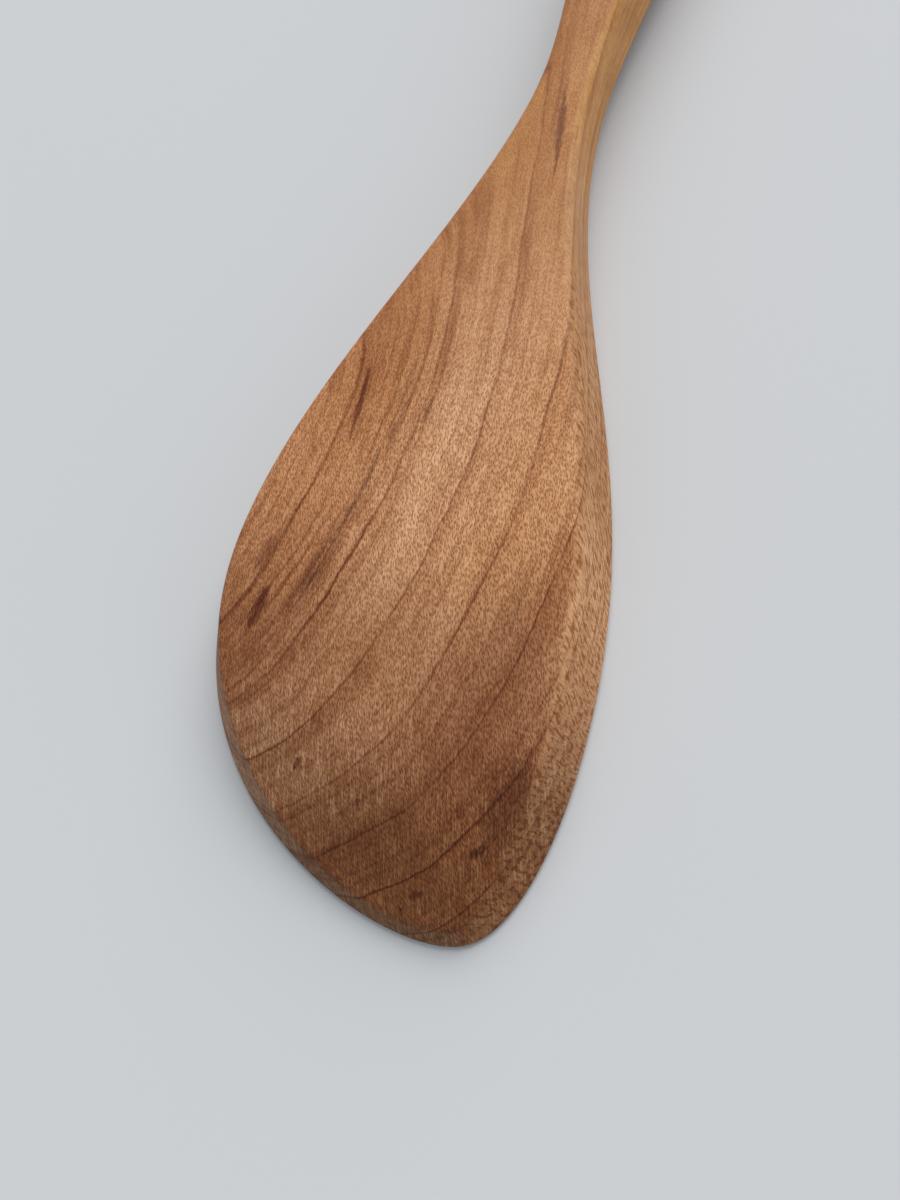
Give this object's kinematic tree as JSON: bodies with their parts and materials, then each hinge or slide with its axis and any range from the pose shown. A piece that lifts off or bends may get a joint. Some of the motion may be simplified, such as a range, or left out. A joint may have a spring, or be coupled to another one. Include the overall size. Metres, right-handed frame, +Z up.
{
  "type": "wooden offset spoon",
  "caption": "One-piece carved wooden spoon with an offset bowl, slanted scraping toe, sloped walls, shallow hollow with a flat lip, slim neck and rounded grip.",
  "frame": {"origin": "under the middle of the spoon's box, on the surface that the lip of the bowl rests on, with the spoon lying face down", "axes": "+Y along the handle from the toe to the butt, +Z up out of the back of the bowl, +X to the right as seen from above the back, the side that the toe tip points to"},
  "size_m": [0.0684, 0.3168, 0.0175],
  "materials": {
    "wood": "satin oil on sanded cherry-like hardwood"
  },
  "bodies": {
    "root": {"spoon": "wood"}
  },
  "joints": []
}
